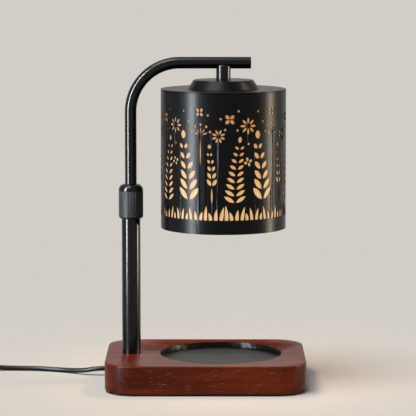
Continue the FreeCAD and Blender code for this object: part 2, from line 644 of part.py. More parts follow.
finish(turned("stem_nipple", [
    (nipple_in, nipple_low), (nipple_out, nipple_low), (nipple_out, "cap_top + stem_socket - sliding_fit"),
    (nipple_in, "cap_top + stem_socket - sliding_fit")], x="shade_right"))

# Cap: a shallow spun cone that covers the middle of the lid
cone_run = "(cap_wide - cap_narrow) / 2 / cap_high"
cap = turned("shade_cap", [
    ("cap_wide / 2 - cap_sheet * 1.2", "shade_roof"), ("cap_wide / 2", "shade_roof"),
    ("cap_narrow / 2", "cap_top"), (washer_in, "cap_top"), (washer_in, "cap_top - cap_sheet"),
    (f"cap_narrow / 2 - cap_sheet * 1.2 + cap_sheet * {cone_run}", "cap_top - cap_sheet")], x="shade_right")
rounded(cap, "cap_sheet * 0.8", rim("cap_narrow / 2", "cap_top"))
finish(cap)
finish(turned("shade_top", [
    (washer_in, "lid_low"), ("shade_wide / 2", "lid_low"), ("shade_wide / 2", "shade_roof"),
    (washer_in, "shade_roof")], x="shade_right"))

# Liner: a translucent sleeve inside the pierced wall
wall_in = "shade_wide / 2 - shade_sheet"
liner_out = f"{wall_in} - sliding_fit"
finish(turned("shade_liner", [
    (f"{liner_out} - liner_sheet", "shade_rim + liner_drop"), (liner_out, "shade_rim + liner_drop"),
    (liner_out, "lid_low"), (f"{liner_out} - liner_sheet", "lid_low")], x="shade_right"))


# Shade wall, pierced with a generic garden of fronds, ears, umbels and rosettes
def leaf(across, up, long, wide, lean):
    """Outline of a leaf of two arcs, centred on a point and leaning from upright, in degrees."""
    half, bulge = long / 2, wide / 2
    ends = [Vector(0, -half, 0), Vector(0, half, 0)]
    face = Part.Face(Part.Wire([
        Part.Arc(ends[0], Vector(bulge, 0, 0), ends[1]).toShape(),
        Part.Arc(ends[1], Vector(-bulge, 0, 0), ends[0]).toShape()]))
    return (face, across, up, lean)


def dot(across, up, wide):
    return (Part.Face(Part.Wire([Part.Circle(Vector(), Vector(0, 0, 1), wide / 2).toShape()])), across, up, 0)


def blade(across, up, long, wide, lean):
    """A grass blade: a flat foot and two arcs that meet in a point."""
    half = wide / 2
    foot = [Vector(-half, 0, 0), Vector(half, 0, 0)]
    tip = Vector(half * (0.5 if lean < 0 else -0.5), long, 0)
    face = Part.Face(Part.Wire([
        Part.LineSegment(foot[0], foot[1]).toShape(),
        Part.Arc(foot[1], Vector(half * 0.95, long * 0.5, 0), tip).toShape(),
        Part.Arc(tip, Vector(-half * 0.95, long * 0.5, 0), foot[0]).toShape()]))
    return (face, across, up, lean)


def star(across, up, petals, inner, long, wide, first=0):
    """Petals set round a point."""
    shapes = []
    for petal in range(petals):
        angle = first + 360 * petal / petals
        away = inner + long / 2
        x = across - away * math.sin(math.radians(angle))
        y = up + away * math.cos(math.radians(angle))
        shapes.append(leaf(x, y, long, wide, angle))
    return shapes


def frond(across, low, pairs, step, lean, longest, wide, spread):
    """A stalk with pairs of leaflets that shorten towards its tip."""
    shapes = []
    for pair in range(pairs):
        share = pair / (pairs - 1)
        height = low + step * pair
        middle = across + lean * share ** 2
        long = longest * (1 - 0.62 * share)
        for side in (-1, 1):
            away = (0.75 + long / 2 * math.sin(math.radians(spread))) * side
            rise = long / 2 * math.cos(math.radians(spread))
            shapes.append(leaf(middle + away, height + rise, long, wide * (1 - 0.35 * share), -spread * side))
    tip = low + step * pairs + longest * 0.22
    shapes.append(leaf(across + lean * 1.05, tip, longest * 0.55, wide, -lean))
    return shapes


def umbel(across, low, high, rays, reach, seed):
    """A stalk that opens into rays, each with a seed at its end."""
    shapes = [leaf(across, (low + high) / 2, high - low, 1.3, 0)]
    for ray in range(rays):
        angle = -70 + 140 * ray / (rays - 1)
        aside, rise = reach * math.sin(math.radians(angle)), reach * math.cos(math.radians(angle))
        start = high + 1.2
        shapes.append(leaf(across - 0.55 * aside, start + 0.55 * rise, reach * 0.62, 1.2, angle))
        shapes.append(dot(across - 1.12 * aside, start + 1.12 * rise, seed))
    return shapes


def garden():
    """The openings of one repeat: across is along the wall and up is above the pattern's lowest line."""
    shapes = []
    shapes += frond(-24, 15, 9, 5.6, 4, 10, 3.3, 58)
    shapes += frond(2, 17, 6, 8.6, -5, 13.5, 5.2, 42)
    shapes += frond(23.5, 29, 5, 6.3, -2, 6.6, 3, 30)
    shapes.append(leaf(23.5, 20.5, 14, 1.4, 0))
    shapes += umbel(13.5, 44, 70, 5, 8, 2.2)
    shapes += star(-12.5, 79, 8, 1.9, 5.4, 2.1)
    shapes += star(29.2, 70.5, 8, 1.7, 4.2, 1.8, 22.5)
    shapes += star(-28.5, 84.5, 4, 0.8, 4.2, 2.9, 45)
    shapes += star(-12.5, 49, 4, 0.7, 3.4, 2.4, 20)
    shapes += star(12.5, 90.5, 4, 0.7, 3.6, 2.5, 45)
    seeds = [(-21, 91.5), (-3, 91), (2, 82.5), (-22, 75.5), (20, 88), (31, 85), (-32.5, 76), (-12, 64)]
    shapes += [dot(across, up, 2) for across, up in seeds]
    for place in range(15):
        tall = 9.5 + 3.2 * math.cos(2.3 * place)
        shapes.append(blade(-31.3 + 4.48 * place, 0, tall, 2.9, 9 * math.sin(1.7 * place)))
    return shapes


def pierced_wall():
    """The cylindrical wall with every opening cut square to its surface."""
    radius, sheet = value("shade_wide") / 2, value("shade_sheet")
    low = value("shade_rim")
    high = value("lid_low") - low
    wall = Part.makeCylinder(radius, high).cut(Part.makeCylinder(radius - sheet, high))
    repeats = round(value("pattern_repeats"))
    outward = Rotation(Vector(0, 1, 0), Vector(0, 0, 1), Vector(1, 0, 0), "ZYX")
    tools = []
    for face, across, up, lean in garden():
        tool = face.extrude(Vector(0, 0, 4 * sheet))
        tool.rotate(Vector(), Vector(0, 0, 1), lean)
        place = Vector(radius - 2.5 * sheet, 0, value("pattern_low") + up)
        tool.Placement = Placement(place, outward) * tool.Placement
        for repeat in range(repeats):
            copy = tool.copy()
            angle = math.degrees(across / radius) + 360 * (repeat + 0.5) / repeats - 90
            copy.rotate(Vector(), Vector(0, 0, 1), angle)
            tools.append(copy)
    print("openings in the shade wall", len(tools))
    return wall.cut(Part.makeCompound(tools)).Solids[0]


shade_wall = fixed_shape("shade_wall", pierced_wall())
bind(shade_wall, "Placement.Base.x", "shade_right")
bind(shade_wall, "Placement.Base.z", "shade_rim")

# Lampholder on a folded bracket, fixed under the lid by a spring washer and a thin nut
half_span, half_bracket = "bracket_span / 2", "bracket_wide / 2"
leg_in = "bracket_span / 2 - bracket_sheet"
bracket = padded("lamp_bracket", [
    (f"0 - {half_span}", "lid_low"), (f"0 - {half_span}", "bracket_low"),
    (f"0 - {half_span} + foot_long", "bracket_low"),
    (f"0 - {half_span} + foot_long", "bracket_low + bracket_sheet"),
    (f"0 - ({leg_in})", "bracket_low + bracket_sheet"), (f"0 - ({leg_in})", "lid_low - bracket_sheet"),
    (leg_in, "lid_low - bracket_sheet"), (leg_in, "bracket_low + bracket_sheet"),
    (f"{half_span} - foot_long", "bracket_low + bracket_sheet"),
    (f"{half_span} - foot_long", "bracket_low"),
    (half_span, "bracket_low"), (half_span, "lid_low")],
    f"0 - {half_bracket}", half_bracket, "shade_right", "0", "XZ_Plane")
drill(bracket, "0", "0", washer_in, "lid_low - bracket_sheet", "lid_low")
holder_screw_out = "bracket_span / 2 - foot_long / 2 - bracket_sheet"
for side in (-1, 1):
    drill(bracket, f"({side}) * ({holder_screw_out})", "0", "screw_wide / 2", "bracket_low",
          "bracket_low + bracket_sheet")
finish(bracket)
finish(turned("spring_washer", [
    (washer_in, "washer_low"), ("washer_wide / 2 - 1", "washer_low"),
    ("washer_wide / 2 - 1", "washer_low + spring_sheet"), (washer_in, "washer_low + spring_sheet")],
    x="shade_right"))
thin_nut = padded("shade_nut", hexagon("nut_flats"), "washer_low - thin_nut", "washer_low", "shade_right")
drill(thin_nut, "0", "0", washer_in, "washer_low - thin_nut", "washer_low")
finish(thin_nut)

holder = turned("plain_holder", [
    ("0", "holder_low"), ("holder_wide / 2", "holder_low"), ("holder_wide / 2", "bracket_low"),
    ("0", "bracket_low")], x="shade_right")
rounded(holder, "holder_round", rim("holder_wide / 2", "holder_low"))
for side in (-1, 1):
    drill(holder, f"({side}) * ({holder_screw_out})", "0", "screw_wide / 2", "bracket_low - screw_long",
          "bracket_low")
chamber_low, chamber_top = "holder_low + holder_face", "bracket_low - chamber_roof"


def holder_openings():
    """Chamber behind the face, with an entry hole and a curved slot for each pin."""
    centre = Vector(value("shade_right"), 0, 0)
    over = value("cut_over")
    low, through = value("holder_low") - over, value("holder_face") + 2 * over
    ring, twist = value("pin_apart") / 2, value("twist_angle")
    head = value("pin_head / 2 + pin_play")
    neck = value("pin_wide / 2 + pin_play")
    chamber = Part.makeCylinder(ring + head + value("pin_play"), value(f"({chamber_top}) - ({chamber_low})"),
                                centre + Vector(0, 0, value(chamber_low)))
    tools = []

    def spot(radius, angle):
        turn = math.radians(angle)
        return centre + Vector(radius * math.cos(turn), radius * math.sin(turn), low)

    for side in (90, 270):
        entry, middle = side - twist, side - twist / 2
        cap = math.degrees(neck / ring)
        slot = Part.Face(Part.Wire([
            Part.Arc(spot(ring + neck, entry), spot(ring + neck, middle), spot(ring + neck, side)).toShape(),
            Part.Arc(spot(ring + neck, side), spot(ring, side + cap), spot(ring - neck, side)).toShape(),
            Part.Arc(spot(ring - neck, side), spot(ring - neck, middle), spot(ring - neck, entry)).toShape(),
            Part.Arc(spot(ring - neck, entry), spot(ring, entry - cap), spot(ring + neck, entry)).toShape()]))
        tools.append(slot.extrude(Vector(0, 0, through)))
        tools.append(Part.makeCylinder(head, through, spot(ring, entry)))
    return chamber.multiFuse(tools)


openings = document.addObject("Part::Feature", "holder_openings")
openings.Shape = holder_openings()
lampholder = document.addObject("Part::Cut", "lampholder")
lampholder.Base = holder
lampholder.Tool = openings
lampholder.Label = "lampholder"
finish(lampholder)
group("lampholder_screws", [
    screw(f"holder_screw_{place}", f"shade_right + ({side}) * ({holder_screw_out})", "0",
          "bracket_low + bracket_sheet + head_high", False, "bracket_sheet + screw_long - screw_spare")
    for place, side in enumerate((-1, 1))])
group("lampholder_contacts", [
    padded(f"contact_{place}", centred("contact_long", "contact_deep"), f"{chamber_top} - contact_sheet",
           chamber_top, "shade_right", f"({side}) * pin_apart / 2")
    for place, side in enumerate((-1, 1))])

# Wires inside the arm, down the stem and into the holder
shade_x, arm_z = value("shade_right"), value("arm_axis")
wire_pair("arm_wires", [
    [(post_x, y, value("arm_foot")), (post_x, y, arm_z), (shade_x, y, arm_z),
     (shade_x, y, value("bracket_low"))]
    for y in (-half_apart, half_apart)], (value("arm_bend"), value("wire_bend")))

# Reflector bulb: glass cup, front lens, ceramic base, pins and the capsule inside
cup_low = "bulb_face + lens_high"
base_low = "bulb_top - bulb_base_high"
cup_long = f"({base_low}) - ({cup_low})"
cup_share = [(0, 0.5), (0.08, 0.498), (0.3, 0.455), (0.55, 0.375), (0.8, 0.285), (1, 0.24)]
cup_outer = [(f"bulb_wide * {wide}", f"{cup_low} + ({cup_long}) * {share}") for share, wide in cup_share]
cup_inner = [(f"bulb_wide * {wide} - glass_wall", f"{cup_low} + ({cup_long}) * {share}")
             for share, wide in reversed(cup_share)]
finish(turned("bulb_reflector", cup_outer + cup_inner, x="shade_right"))
lens_out = "bulb_wide / 2 - lens_inset"
lens = turned("bulb_lens", [
    ("0", "bulb_face"), (lens_out, "bulb_face"), (lens_out, cup_low), ("0", cup_low)], x="shade_right")
rounded(lens, "lens_high * 0.6", rim(lens_out, "bulb_face"))
finish(lens)
bulb_base = turned("bulb_base", [
    ("0", base_low), ("bulb_neck / 2", base_low), ("bulb_neck / 2", "bulb_top - bulb_shoulder"),
    ("bulb_neck / 2 - bulb_taper", "bulb_top"), ("0", "bulb_top")], x="shade_right")
finish(bulb_base)
pin_top = "bulb_top + pin_neck + head_tall"
group("bulb_pins", [
    turned(f"bulb_pin_{place}", [
        ("0", "bulb_top"), ("pin_wide / 2", "bulb_top"), ("pin_wide / 2", "bulb_top + pin_neck"),
        ("pin_head / 2", "bulb_top + pin_neck"), ("pin_head / 2", pin_top), ("0", pin_top)],
        "shade_right", f"({side}) * pin_apart / 2")
    for place, side in enumerate((-1, 1))])
capsule = turned("bulb_capsule", [
    ("0", f"{base_low} - capsule_long"), ("capsule_wide / 2", f"{base_low} - capsule_long"),
    ("capsule_wide / 2", base_low), ("0", base_low)], x="shade_right")
rounded(capsule, "capsule_wide * 0.45", rim("capsule_wide / 2", f"{base_low} - capsule_long"))
finish(capsule)

# Free lead from the base to the dimmer
cord("lead_cord", [
    (-85.5, 26, 6.5), (-95, 26, 6.5), (-108, 30.5, 3.4), (-126, 41, 2.1), (-147, 48, 2.1),
    (-168, 49.5, 2.1), (-187, 48.6, 2.9), (-200, 48, 8), (-211, 48, 8)])

# Rotary dimmer on the lead: two shells, board, potentiometer, shaft and ribbed knob
dimmer_half = "dimmer_long / 2"
inner_long, inner_deep = "dimmer_long - 2 * dimmer_wall", "dimmer_deep - 2 * dimmer_wall"
dimmer_screw_spots = [("0 - boss_along", "boss_across"), ("boss_along", "0 - boss_across")]
notches = []
for place, side in enumerate((-1, 1)):
    notch = document.addObject("Part::Cylinder", f"dimmer_notch_{place}")
    notch.Placement = Placement(Vector(), along_x)
    bind(notch, "Radius", "relief_neck / 2 + sliding_fit")
    bind(notch, "Height", "dimmer_wall * 2")
    bind(notch, "Placement.Base.x", f"dimmer_axis + ({side}) * ({dimmer_half}) - dimmer_wall")
    bind(notch, "Placement.Base.y", "dimmer_back")
    bind(notch, "Placement.Base.z", "dimmer_split")
    notches.append(notch)
dimmer_notches = document.addObject("Part::Compound", "dimmer_notches")
dimmer_notches.Links = notches


def notched(name, shell):
    result = document.addObject("Part::Cut", name)
    result.Base = shell
    result.Tool = dimmer_notches
    result.Label = name
    return finish(result)


def hollow_shell(name, low, high, cut_low, cut_high):
    """Half of the dimmer's case, hollow between two heights, with its corners rounded inside and out."""
    shell = padded(name, centred("dimmer_long", "dimmer_deep"), low, high, "dimmer_axis", "dimmer_back")
    mill(shell, centred(inner_long, inner_deep), cut_low, cut_high)
    limit = value(f"({inner_long}) / 2") + 0.01
    rounded(shell, "dimmer_round - dimmer_wall",
            lambda edge: upright(edge) and abs(edge.BoundBox.Center.x) < limit)
    rounded(shell, "dimmer_round", lambda edge: upright(edge) and abs(edge.BoundBox.Center.x) > limit)
    return shell


bottom_shell = hollow_shell("plain_bottom", "0", "dimmer_split", "dimmer_wall", "dimmer_split")
rounded(bottom_shell, "dimmer_edge * 0.4", level("0"))
for x, y in dimmer_screw_spots:
    drill(bottom_shell, x, y, "screw_head / 2 + sliding_fit", "0", "dimmer_wall")
top_shell = hollow_shell("plain_top", "dimmer_split", "dimmer_high", "dimmer_split",
                         "dimmer_high - dimmer_wall")
rounded(top_shell, "dimmer_edge", level("dimmer_high"))
drill(top_shell, "0", "0", "shaft_wide / 2 + knob_play", "dimmer_split", "dimmer_high")
notched("dimmer_bottom_shell", bottom_shell)
notched("dimmer_top_shell", top_shell)

finish(padded("dimmer_board", centred("board_long", "board_deep"), "board_rise", "board_top",
              "dimmer_axis", "dimmer_back"))
bosses = [
    turned(f"dimmer_post_{place}", [
        ("screw_wide / 2", "dimmer_wall"), ("screw_wide / 2 + boss_wall", "dimmer_wall"),
        ("screw_wide / 2 + boss_wall", "dimmer_high - dimmer_wall"),
        ("screw_wide / 2", "dimmer_high - dimmer_wall")],
        f"dimmer_axis + ({x})", f"dimmer_back + ({y})")
    for place, (x, y) in enumerate(dimmer_screw_spots)]
rests = [
    padded(f"dimmer_rest_{place}", centred("rest_long", "board_deep - rest_long"), "dimmer_wall",
           "board_rise", f"dimmer_axis + ({side}) * (pot_side / 2 + rest_long)", "dimmer_back")
    for place, side in enumerate((-1, 1))]
group("dimmer_posts", bosses + rests)
group("dimmer_screws", [
    screw(f"dimmer_screw_{place}", f"dimmer_axis + ({x})", f"dimmer_back + ({y})",
          "dimmer_wall - head_high", long="dimmer_high - 2 * (dimmer_wall + screw_spare)")
    for place, (x, y) in enumerate(dimmer_screw_spots)])
finish(padded("dimmer_control", centred("pot_side", "pot_side"), "board_top", "board_top + pot_high",
              "dimmer_axis", "dimmer_back"))
shaft_low, knob_top = "board_top + pot_high + sliding_fit", "knob_low + knob_high"
finish(turned("dimmer_shaft", [
    ("0", shaft_low), ("shaft_wide / 2", shaft_low), ("shaft_wide / 2", f"{knob_top} - knob_roof"),
    ("0", f"{knob_top} - knob_roof")], "dimmer_axis", "dimmer_back"))
shaft_hole = "shaft_wide / 2 + sliding_fit"
knob_inside = f"{knob_top} - knob_roof + sliding_fit"
knob = turned("dimmer_knob", [
    (shaft_hole, "knob_low"), ("knob_wide / 2", "knob_low"), ("knob_wide / 2 - knob_taper", knob_top),
    ("0", knob_top), ("0", knob_inside), (shaft_hole, knob_inside)], "dimmer_axis", "dimmer_back")
rounded(knob, "knob_round", rim("knob_wide / 2 - knob_taper", knob_top))
flute = drill(knob, "knob_wide / 2 + flute_out", "0", "flute_wide / 2", "knob_low", knob_top)
patterned(knob, flute, "knob_ribs")
mill(knob, rectangle("knob_wide * 0.15", "knob_wide * 0.42", "0 - mark_wide / 2", "mark_wide / 2"),
     f"{knob_top} - mark_deep", knob_top)
finish(knob)
relief = [
    ("0", "0 - dimmer_wall - flange_high"), ("relief_flange / 2", "0 - dimmer_wall - flange_high"),
    ("relief_flange / 2", "0 - dimmer_wall - sliding_fit"),
    ("relief_neck / 2", "0 - dimmer_wall - sliding_fit"), ("relief_neck / 2", "sliding_fit"),
    ("relief_wide / 2", "sliding_fit"), ("relief_tip / 2", "relief_long"), ("0", "relief_long")]
group("dimmer_reliefs", [
    turned(f"relief_{place}", relief, f"dimmer_axis + ({side}) * ({dimmer_half})", "dimmer_back",
           "dimmer_split", Rotation(Vector(0, 1, 0), 90 * side))
    for place, side in enumerate((-1, 1))])
wire_out = "dimmer_long / 2 - dimmer_wall - flange_high"
group("dimmer_wires", [
    turned(f"dimmer_wire_{place}", [
        ("0", "0"), ("wire_wide / 2", "0"), ("wire_wide / 2", "wire_stub"), ("0", "wire_stub")],
           f"dimmer_axis + ({side}) * ({wire_out})", f"dimmer_back + ({across}) * wire_apart",
           "board_top + wire_wide / 2 + sliding_fit", Rotation(Vector(0, 1, 0), -90 * side))
    for place, (side, across) in enumerate([(-1, -0.5), (-1, 0.5), (1, -0.5), (1, 0.5)])])

# Feed from the dimmer to the coil
cord("feed_cord", [
    (-293, 48, 8), (-302, 48, 8), (-312, 44.6, 5.1), (-320.4, 38, 3.2), (-326.2, 28.6, 2.6),
    (-328.8, 17.5, 2.6), (-329, 8, 2.6), (-329, 0.2, 2.6)])


# Rest of the lead, wound into a flat two-layer coil and tied
def biarc(start, start_way, end, end_way):
    """Two arcs that leave start along start_way and reach end along end_way."""
    chord = end - start
    both = start_way + end_way
    spread = 2 * (1 - start_way.dot(end_way))
    reach = (-chord.dot(both) + math.sqrt(chord.dot(both) ** 2 + spread * chord.dot(chord))) / spread
    middle = (start + end + (start_way - end_way) * reach) * 0.5
    return [arc_from(start, start_way, middle), arc_from(end, end_way * -1, middle, True)]


def arc_from(start, way, end, backwards=False):
    """The arc that leaves start along way and passes through end."""
    chord = end - start
    angle = way.getAngle(chord)
    unit = chord * (1 / chord.Length)
    side = way - unit * way.dot(unit)
    side.normalize()
    middle = (start + end) * 0.5 + side * (chord.Length / 2 * math.tan(angle / 2))
    if backwards:
        return Part.Arc(end, middle, start).toShape()
    return Part.Arc(start, middle, end).toShape()


coil_centre = Vector(value("coil_axis"), -value("coil_front"), 0)
coil_radius, pitch, first_layer = value("coil_radius"), value("coil_pitch"), value("coil_first")
turns_in, climb = value("coil_turns"), value("coil_climb")


def coil_point(turns):
    """Place on the coil's middle line after so many turns: in, up a layer, and out."""
    radius = coil_radius - pitch * min(turns, turns_in) + pitch * max(turns - turns_in - climb, 0)
    height = first_layer + pitch * min(max(turns - turns_in, 0) / climb, 1)
    angle = math.pi + 2 * math.pi * turns
    return coil_centre + Vector(radius * math.cos(angle), radius * math.sin(angle), height)


def coil_way(turns):
    step = 1e-4
    way = coil_point(turns + step) - coil_point(turns - step)
    way.normalize()
    return way


last_turn = value("coil_turns + coil_climb + coil_return")
quarters = round(last_turn * 4)
stub = value("cord_wide")
coil_start, coil_end = coil_point(0), coil_point(last_turn)
start_way, end_way = Vector(0, -1, 0), Vector(1, 0, 0)
ways = [start_way] + [coil_way(quarter / 4) for quarter in range(1, quarters)] + [end_way]
coil_edges = [Part.LineSegment(coil_start - start_way * stub, coil_start).toShape()]
for quarter in range(quarters):
    coil_edges += biarc(coil_point(quarter / 4), ways[quarter],
                        coil_point((quarter + 1) / 4), ways[quarter + 1])
coil_edges.append(Part.LineSegment(coil_end, coil_end + end_way * stub).toShape())
fixed_shape("cord_coil", tube("cord_coil", coil_edges, value("cord_wide")))

# Least gap between points of the coil that are half a turn or more apart along it
steps = 1200
half_turn = round(steps / last_turn / 2)
samples = [coil_point(last_turn * step / steps) for step in range(steps + 1)]
least = min((samples[one] - samples[other]).Length
            for one in range(steps) for other in range(one + half_turn, steps + 1))
print("coil length", round(sum(edge.Length for edge in coil_edges)), "gap", round(least - stub, 2))

# The tie's band crosses the back of the coil, which the cord first passes after three quarters of a turn
tie_near = "coil_radius - coil_pitch * coil_turns - cord_wide / 2 - 2 * tie_sheet"
tie_far = "coil_radius - coil_pitch * 3 / 4 + cord_wide / 2 + tie_play"
tie_top = "coil_second + cord_wide / 2 + tie_play"
tie = padded("coil_tie", rectangle(
    f"{tie_near} - tie_sheet", f"{tie_far} + tie_sheet", "0", f"{tie_top} + tie_sheet"),
    "0 - tie_wide / 2", "tie_wide / 2", "coil_axis", "0 - coil_front", "XY_Plane",
    Rotation(Vector(1, 1, 1), 120))
tie_hole = document.addObject("Part::Box", "tie_hole")
bind(tie_hole, "Length", "tie_wide * 2")
bind(tie_hole, "Width", f"({tie_far}) - ({tie_near})")
bind(tie_hole, "Height", f"{tie_top} - tie_sheet")
bind(tie_hole, "Placement.Base.x", "coil_axis - tie_wide")
bind(tie_hole, "Placement.Base.y", f"{tie_near} - coil_front")
bind(tie_hole, "Placement.Base.z", "tie_sheet")
coil_tie = document.addObject("Part::Cut", "coil_tie_band")
coil_tie.Base = tie
coil_tie.Tool = tie_hole
tie.Label = "plain_tie"
coil_tie.Label = "coil_tie"
finish(coil_tie)

# Tail and two-blade plug
cord("tail_cord", [
    (-289.8, -37.7, 7.8), (-283, -37.7, 7.8), (-275.5, -38.2, 7), (-269, -38.2, 7)])
plug_back = "0 - plug_long"
finish(turned("plug_relief", [
    ("0", f"{plug_back} - plug_relief"), ("relief_tip / 2", f"{plug_back} - plug_relief"),
    ("relief_wide / 2", plug_back), ("0", plug_back)],
    "plug_face", "0 - plug_front", "plug_high / 2", along_x))
plug_body = padded("plug_body", rectangle("0 - plug_long", "0", "0 - plug_deepness / 2", "plug_deepness / 2"),
                   "0", "plug_high", "plug_face", "0 - plug_front")
rounded(plug_body, "plug_corner", upright)
rounded(plug_body, "plug_edge", lambda edge: level("0")(edge) or level("plug_high")(edge))
finish(plug_body)
group("plug_blades", [
    padded(f"plug_blade_{place}", rectangle("0", "blade_long", "0 - blade_sheet / 2", "blade_sheet / 2"),
           "plug_high / 2 - blade_high / 2", "plug_high / 2 + blade_high / 2", "plug_face",
           f"({side}) * blade_apart / 2 - plug_front")
    for place, side in enumerate((-1, 1))])


# Check every object, then write one file for each sub-part
document.recompute()
for item in document.Objects:
    if any(word in item.State for word in ("Invalid", "Error")):
        raise RuntimeError(f"{item.Label} failed: {item.State}")
labels = [item.Label for item in finished]
if len(set(labels)) != len(labels):
    raise RuntimeError("two sub-parts share a name")
os.makedirs("parts", exist_ok=True)
for item in finished:
    if item.Shape.isNull() or not item.Shape.isValid() or item.Shape.Volume <= 0:
        raise RuntimeError(f"{item.Label} has no valid shape")
    item.Shape.exportStep(f"parts/{item.Label}.step")
print(len(finished), "sub-parts written")
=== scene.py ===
import json
import math

import bmesh
import bpy
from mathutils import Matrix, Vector

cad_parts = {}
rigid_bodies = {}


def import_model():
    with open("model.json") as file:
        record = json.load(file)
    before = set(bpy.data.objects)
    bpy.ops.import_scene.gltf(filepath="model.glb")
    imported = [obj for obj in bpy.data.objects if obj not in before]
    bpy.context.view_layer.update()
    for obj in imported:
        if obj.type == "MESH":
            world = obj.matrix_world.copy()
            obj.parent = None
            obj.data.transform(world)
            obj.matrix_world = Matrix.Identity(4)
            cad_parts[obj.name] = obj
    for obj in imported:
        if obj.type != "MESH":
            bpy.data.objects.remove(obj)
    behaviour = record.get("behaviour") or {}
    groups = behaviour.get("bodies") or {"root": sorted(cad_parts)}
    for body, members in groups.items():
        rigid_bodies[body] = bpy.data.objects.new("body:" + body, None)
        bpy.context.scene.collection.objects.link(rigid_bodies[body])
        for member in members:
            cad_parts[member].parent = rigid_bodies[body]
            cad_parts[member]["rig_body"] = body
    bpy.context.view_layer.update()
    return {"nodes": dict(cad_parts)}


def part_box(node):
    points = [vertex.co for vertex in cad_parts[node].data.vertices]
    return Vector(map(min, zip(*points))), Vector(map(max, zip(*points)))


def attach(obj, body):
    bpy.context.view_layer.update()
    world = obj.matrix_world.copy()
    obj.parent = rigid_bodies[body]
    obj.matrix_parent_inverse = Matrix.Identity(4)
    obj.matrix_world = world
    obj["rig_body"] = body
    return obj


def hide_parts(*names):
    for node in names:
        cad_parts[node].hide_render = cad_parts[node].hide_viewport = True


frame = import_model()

# Wooden base
# A block of reddish hardwood, routed for the candle dish and the wiring, with eased edges
# and a satin varnish. Its grain runs along the lamp, and open pores show as short pale streaks.


def add(tree, kind, inputs=None, **settings):
    """Add a shader node; an input is a value or the socket that feeds it."""
    node = tree.nodes.new("ShaderNode" + kind)
    for name, value in settings.items():
        setattr(node, name, value)
    for name, value in (inputs or {}).items():
        if isinstance(value, bpy.types.NodeSocket):
            tree.links.new(value, node.inputs[name])
        else:
            node.inputs[name].default_value = value
    return node


def ramp(tree, factor, *stops):
    """Colours along a factor, each stop a place and a colour."""
    node = add(tree, "ValToRGB", {"Fac": factor})
    marks = node.color_ramp.elements
    while len(marks) < len(stops):
        marks.new(0.5)
    for mark, (place, colour) in zip(marks, stops):
        mark.position = place
        mark.color = (*colour, 1) if len(colour) == 3 else colour
    return node.outputs["Color"]


def grey(level):
    return (level, level, level)


def new_group(name, inputs, outputs):
    """A shader node group, with the sockets that its inside takes from and gives to."""
    group = bpy.data.node_groups.new(name, "ShaderNodeTree")
    for label, kind, value in inputs:
        socket = group.interface.new_socket(label, in_out="INPUT", socket_type="NodeSocket" + kind)
        socket.default_value = value
    for label, kind in outputs:
        group.interface.new_socket(label, in_out="OUTPUT", socket_type="NodeSocket" + kind)
    return group, group.nodes.new("NodeGroupInput").outputs, group.nodes.new("NodeGroupOutput").inputs


def new_material(name, roughness, metallic=0.0, colour=(0.5, 0.5, 0.5)):
    """A material with its node tree and its shader's inputs."""
    material = bpy.data.materials.new(name)
    material.use_nodes = True
    shader = material.node_tree.nodes["Principled BSDF"]
    shader.inputs["Base Color"].default_value = (*colour, 1)
    shader.inputs["Roughness"].default_value = roughness
    shader.inputs["Metallic"].default_value = metallic
    return material, material.node_tree, shader.inputs


same_place = 2e-6
no_length = 1e-6
turned_edge = math.radians(40)
hair_edge = 0.0001
fine_edge = 0.0002
soft_edge = 0.0003


def dress(node, material, sharp=35, edge=0.0):
    """A merged, smooth-shaded copy that stands for a CAD node, its sharp edges broken by edge metres."""
    source = frame["nodes"][node]
    piece = bpy.data.objects.new(node + "_finished", source.data.copy())
    bpy.context.scene.collection.objects.link(piece)
    form = bmesh.new()
    form.from_mesh(piece.data)
    bmesh.ops.remove_doubles(form, verts=form.verts, dist=same_place)
    bmesh.ops.dissolve_degenerate(form, edges=form.edges, dist=no_length)
    form.to_mesh(piece.data)
    form.free()
    piece.data.shade_smooth()
    piece.data.set_sharp_from_angle(angle=math.radians(sharp))
    piece.data.materials.clear()
    piece.data.materials.append(material)
    if edge:
        bevel = piece.modifiers.new("eased", "BEVEL")
        bevel.width = edge
        bevel.segments = 2
        bevel.limit_method = "ANGLE"
        bevel.angle_limit = turned_edge
        bevel.harden_normals = True
    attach(piece, source["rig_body"])
    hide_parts(node)
    return piece


grain, given, made = new_group(
    "wood_grain",
    [("Dark", "Color", (0.026, 0.0036, 0.0016, 1)), ("Light", "Color", (0.19, 0.027, 0.007, 1)),
     ("Pore", "Color", (0.30, 0.14, 0.085, 1)), ("Pore Share", "Float", 0.5)],
    [("Colour", "Color"), ("Roughness", "Float"), ("Height", "Float")])
place = add(grain, "TexCoord").outputs["Object"]
slow = add(grain, "Mapping", {"Vector": place, "Scale": (2.2, 17, 17), "Location": (0.3, 0.1, 0.7)})
drift = add(grain, "TexNoise", {"Vector": slow.outputs[0], "Scale": 1.3, "Detail": 3, "Roughness": 0.5})
figure = add(grain, "TexWave", {"Vector": slow.outputs[0], "Scale": 1.1, "Distortion": 9, "Detail": 3,
                                "Detail Scale": 1.4, "Detail Roughness": 0.6}, bands_direction="Y")
fibre_way = add(grain, "Mapping", {"Vector": place, "Scale": (14, 520, 520)})
fibre = add(grain, "TexNoise", {"Vector": fibre_way.outputs[0], "Scale": 1, "Detail": 5, "Roughness": 0.62})
figure_share = 0.3
drift_share = 0.5
fibre_share = 0.6
tone = add(grain, "Math", {0: figure.outputs["Fac"], 1: figure_share}, operation="MULTIPLY")
tone = add(grain, "Math", {0: drift.outputs["Fac"], 1: drift_share, 2: tone.outputs[0]},
           operation="MULTIPLY_ADD")
tone = add(grain, "Math", {0: fibre.outputs["Fac"], 1: fibre_share, 2: tone.outputs[0]},
           operation="MULTIPLY_ADD")
tone = ramp(grain, tone.outputs[0], (0.36, grey(0)), (1.02, grey(1)))
